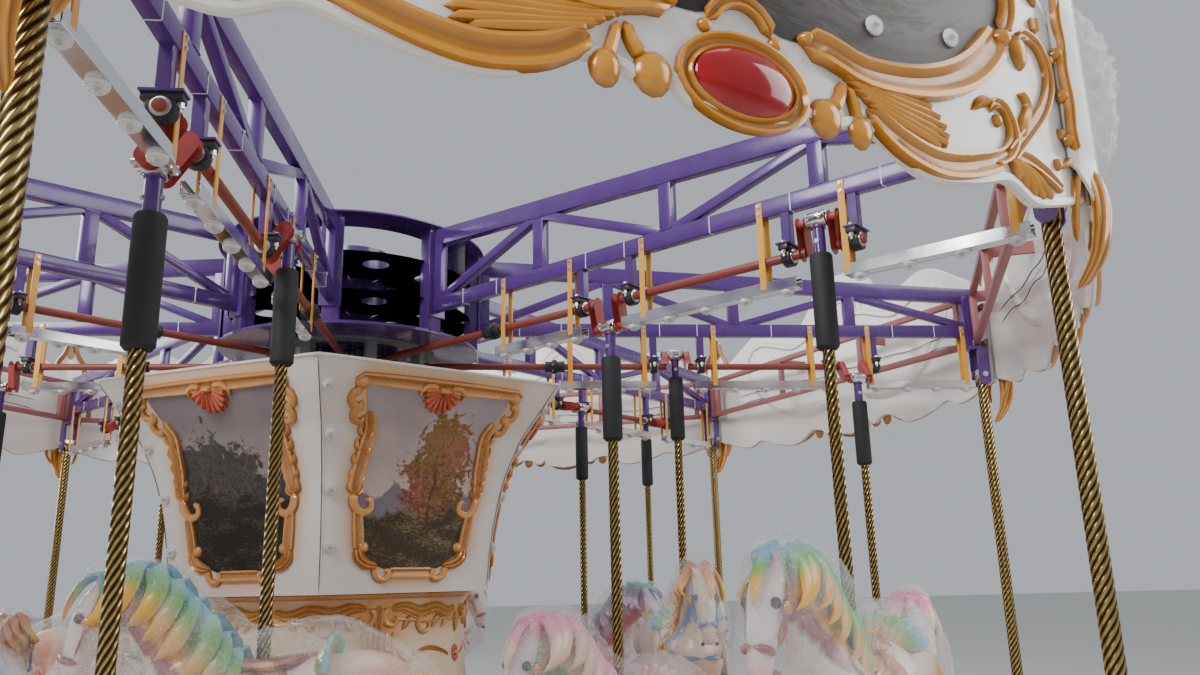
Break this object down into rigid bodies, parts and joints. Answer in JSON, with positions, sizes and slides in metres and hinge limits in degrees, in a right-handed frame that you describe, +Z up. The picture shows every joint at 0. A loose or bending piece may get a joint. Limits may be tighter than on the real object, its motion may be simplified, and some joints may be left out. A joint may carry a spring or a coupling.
{
  "type": "top-drive carousel",
  "caption": "Carousel without its canopy: hub and sweeps carry crankshafts, jumping horses on poles, a deck and rounding boards.",
  "frame": {"origin": "on the floor, under the middle of the ride", "axes": "+Z up along the turning axis; +X outwards along sweep 1; the horses run clockwise seen from above"},
  "size_m": [8.342, 8.342, 4.05],
  "materials": {
    "grey_steel": "satin grey paint",
    "purple_paint": "gloss enamel",
    "red_primer": "satin primer",
    "strap_yellow": "gloss enamel",
    "chrome_trim": "polished",
    "black_casting": "satin",
    "twisted_brass": "polished, toned dark in the grooves",
    "sleeve_rubber": "matt",
    "white_moulding": "gloss gelcoat",
    "cream_moulding": "gloss gelcoat",
    "gold_paint": "gloss orange gold",
    "red_gem": "high gloss",
    "picture_print": "gloss print",
    "clear_lamp": "clear, faceted",
    "deck_floor": "varnished boards",
    "horse_paint": "gloss, pastel",
    "bubble_film": "clear bubble film"
  },
  "bodies": {
    "base": {"base_frame": "grey_steel", "centre_column": "grey_steel"},
    "turning_frame": {"hub_cage": "purple_paint", "inner_frame": "grey_steel", "deck": "deck_floor", "lower_casing": "cream_moulding", "upper_drum": "white_moulding", "sweep_truss_1": "purple_paint", "sweep_truss_2": "purple_paint", "sweep_truss_3": "purple_paint", "sweep_truss_4": "purple_paint", "sweep_truss_5": "purple_paint", "sweep_truss_6": "purple_paint", "sweep_truss_7": "purple_paint", "sweep_truss_8": "purple_paint", "fixed_pole_1": "twisted_brass", "fixed_pole_2": "twisted_brass", "fixed_pole_3": "twisted_brass", "fixed_pole_4": "twisted_brass", "fixed_pole_5": "twisted_brass", "fixed_pole_6": "twisted_brass", "fixed_pole_7": "twisted_brass", "fixed_pole_8": "twisted_brass", "rounding_board_1": "white_moulding", "rounding_board_2": "white_moulding", "rounding_board_3": "white_moulding", "rounding_board_4": "white_moulding", "rounding_board_5": "white_moulding", "rounding_board_6": "white_moulding", "rounding_board_7": "white_moulding", "rounding_board_8": "white_moulding"},
    "crankshaft_1": {"crankshaft_1": "red_primer"},
    "horse_inner_1": {"horse_inner_1": "horse_paint"},
    "horse_outer_1": {"horse_outer_1": "horse_paint"},
    "crankshaft_2": {"crankshaft_2": "red_primer"},
    "horse_inner_2": {"horse_inner_2": "horse_paint"},
    "horse_outer_2": {"horse_outer_2": "horse_paint"},
    "crankshaft_3": {"crankshaft_3": "red_primer"},
    "horse_inner_3": {"horse_inner_3": "horse_paint"},
    "horse_outer_3": {"horse_outer_3": "horse_paint"},
    "crankshaft_4": {"crankshaft_4": "red_primer"},
    "horse_inner_4": {"horse_inner_4": "horse_paint"},
    "horse_outer_4": {"horse_outer_4": "horse_paint"},
    "crankshaft_5": {"crankshaft_5": "red_primer"},
    "horse_inner_5": {"horse_inner_5": "horse_paint"},
    "horse_outer_5": {"horse_outer_5": "horse_paint"},
    "crankshaft_6": {"crankshaft_6": "red_primer"},
    "horse_inner_6": {"horse_inner_6": "horse_paint"},
    "horse_outer_6": {"horse_outer_6": "horse_paint"},
    "crankshaft_7": {"crankshaft_7": "red_primer"},
    "horse_inner_7": {"horse_inner_7": "horse_paint"},
    "horse_outer_7": {"horse_outer_7": "horse_paint"},
    "crankshaft_8": {"crankshaft_8": "red_primer"},
    "horse_inner_8": {"horse_inner_8": "horse_paint"},
    "horse_outer_8": {"horse_outer_8": "horse_paint"}
  },
  "joints": [
    {"name": "ride_turn", "type": "hinge", "parent": "base", "child": "turning_frame", "pos_m": [0, 0, 3.0015], "axis": [0, 0, -1], "continuous": true},
    {"name": "crank_1_turn", "type": "hinge", "parent": "turning_frame", "child": "crankshaft_1", "pos_m": [1, 0, 2.928], "axis": [1, 0, 0], "continuous": true},
    {"name": "inner_pin_1_turn", "type": "hinge", "parent": "crankshaft_1", "child": "horse_inner_1", "pos_m": [2.01, 0.07713, 3.01993], "axis": [1, 0, 0], "continuous": true},
    {"name": "outer_pin_1_turn", "type": "hinge", "parent": "crankshaft_1", "child": "horse_outer_1", "pos_m": [3.14, -0.07713, 2.83607], "axis": [1, 0, 0], "continuous": true},
    {"name": "crank_2_turn", "type": "hinge", "parent": "turning_frame", "child": "crankshaft_2", "pos_m": [0.70711, 0.70711, 2.928], "axis": [0.7071, 0.7071, 0], "continuous": true},
    {"name": "inner_pin_2_turn", "type": "hinge", "parent": "crankshaft_2", "child": "horse_inner_2", "pos_m": [1.50485, 1.33772, 2.90716], "axis": [0.7071, 0.7071, 0], "continuous": true},
    {"name": "outer_pin_2_turn", "type": "hinge", "parent": "crankshaft_2", "child": "horse_outer_2", "pos_m": [2.13675, 2.30388, 2.94884], "axis": [0.7071, 0.7071, 0], "continuous": true},
    {"name": "crank_3_turn", "type": "hinge", "parent": "turning_frame", "child": "crankshaft_3", "pos_m": [0, 1, 2.928], "axis": [0, 1, 0], "continuous": true},
    {"name": "inner_pin_3_turn", "type": "hinge", "parent": "crankshaft_3", "child": "horse_inner_3", "pos_m": [0.07713, 2.01, 3.01993], "axis": [0, 1, 0], "continuous": true},
    {"name": "outer_pin_3_turn", "type": "hinge", "parent": "crankshaft_3", "child": "horse_outer_3", "pos_m": [-0.07713, 3.14, 2.83607], "axis": [0, 1, 0], "continuous": true},
    {"name": "crank_4_turn", "type": "hinge", "parent": "turning_frame", "child": "crankshaft_4", "pos_m": [-0.70711, 0.70711, 2.928], "axis": [-0.7071, 0.7071, 0], "continuous": true},
    {"name": "inner_pin_4_turn", "type": "hinge", "parent": "crankshaft_4", "child": "horse_inner_4", "pos_m": [-1.48905, 1.35352, 2.85578], "axis": [-0.7071, 0.7071, 0], "continuous": true},
    {"name": "outer_pin_4_turn", "type": "hinge", "parent": "crankshaft_4", "child": "horse_outer_4", "pos_m": [-2.15255, 2.28808, 3.00022], "axis": [-0.7071, 0.7071, 0], "continuous": true},
    {"name": "crank_5_turn", "type": "hinge", "parent": "turning_frame", "child": "crankshaft_5", "pos_m": [-1, 0, 2.928], "axis": [-1, 0, 0], "continuous": true},
    {"name": "inner_pin_5_turn", "type": "hinge", "parent": "crankshaft_5", "child": "horse_inner_5", "pos_m": [-2.01, 0.02084, 2.80982], "axis": [-1, 0, 0], "continuous": true},
    {"name": "outer_pin_5_turn", "type": "hinge", "parent": "crankshaft_5", "child": "horse_outer_5", "pos_m": [-3.14, -0.02084, 3.04618], "axis": [-1, 0, 0], "continuous": true},
    {"name": "crank_6_turn", "type": "hinge", "parent": "turning_frame", "child": "crankshaft_6", "pos_m": [-0.70711, -0.70711, 2.928], "axis": [-0.7071, -0.7071, 0], "continuous": true},
    {"name": "inner_pin_6_turn", "type": "hinge", "parent": "crankshaft_6", "child": "horse_inner_6", "pos_m": [-1.34155, -1.50102, 2.96904], "axis": [-0.7071, -0.7071, 0], "continuous": true},
    {"name": "outer_pin_6_turn", "type": "hinge", "parent": "crankshaft_6", "child": "horse_outer_6", "pos_m": [-2.30005, -2.14058, 2.88696], "axis": [-0.7071, -0.7071, 0], "continuous": true},
    {"name": "crank_7_turn", "type": "hinge", "parent": "turning_frame", "child": "crankshaft_7", "pos_m": [0, -1, 2.928], "axis": [0, -1, 0], "continuous": true},
    {"name": "inner_pin_7_turn", "type": "hinge", "parent": "crankshaft_7", "child": "horse_inner_7", "pos_m": [0.06, -2.01, 3.03192], "axis": [0, -1, 0], "continuous": true},
    {"name": "outer_pin_7_turn", "type": "hinge", "parent": "crankshaft_7", "child": "horse_outer_7", "pos_m": [-0.06, -3.14, 2.82408], "axis": [0, -1, 0], "continuous": true},
    {"name": "crank_8_turn", "type": "hinge", "parent": "turning_frame", "child": "crankshaft_8", "pos_m": [0.70711, -0.70711, 2.928], "axis": [0.7071, -0.7071, 0], "continuous": true},
    {"name": "inner_pin_8_turn", "type": "hinge", "parent": "crankshaft_8", "child": "horse_inner_8", "pos_m": [1.43602, -1.40655, 2.80982], "axis": [0.7071, -0.7071, 0], "continuous": true},
    {"name": "outer_pin_8_turn", "type": "hinge", "parent": "crankshaft_8", "child": "horse_outer_8", "pos_m": [2.20558, -2.23505, 3.04618], "axis": [0.7071, -0.7071, 0], "continuous": true}
  ],
  "couplings": [
    {"joint": "crank_1_turn", "follows": "ride_turn", "ratio": 3},
    {"joint": "inner_pin_1_turn", "follows": "ride_turn", "ratio": -3},
    {"joint": "outer_pin_1_turn", "follows": "ride_turn", "ratio": -3},
    {"joint": "crank_2_turn", "follows": "ride_turn", "ratio": 3},
    {"joint": "inner_pin_2_turn", "follows": "ride_turn", "ratio": -3},
    {"joint": "outer_pin_2_turn", "follows": "ride_turn", "ratio": -3},
    {"joint": "crank_3_turn", "follows": "ride_turn", "ratio": 3},
    {"joint": "inner_pin_3_turn", "follows": "ride_turn", "ratio": -3},
    {"joint": "outer_pin_3_turn", "follows": "ride_turn", "ratio": -3},
    {"joint": "crank_4_turn", "follows": "ride_turn", "ratio": 3},
    {"joint": "inner_pin_4_turn", "follows": "ride_turn", "ratio": -3},
    {"joint": "outer_pin_4_turn", "follows": "ride_turn", "ratio": -3},
    {"joint": "crank_5_turn", "follows": "ride_turn", "ratio": 3},
    {"joint": "inner_pin_5_turn", "follows": "ride_turn", "ratio": -3},
    {"joint": "outer_pin_5_turn", "follows": "ride_turn", "ratio": -3},
    {"joint": "crank_6_turn", "follows": "ride_turn", "ratio": 3},
    {"joint": "inner_pin_6_turn", "follows": "ride_turn", "ratio": -3},
    {"joint": "outer_pin_6_turn", "follows": "ride_turn", "ratio": -3},
    {"joint": "crank_7_turn", "follows": "ride_turn", "ratio": 3},
    {"joint": "inner_pin_7_turn", "follows": "ride_turn", "ratio": -3},
    {"joint": "outer_pin_7_turn", "follows": "ride_turn", "ratio": -3},
    {"joint": "crank_8_turn", "follows": "ride_turn", "ratio": 3},
    {"joint": "inner_pin_8_turn", "follows": "ride_turn", "ratio": -3},
    {"joint": "outer_pin_8_turn", "follows": "ride_turn", "ratio": -3}
  ]
}
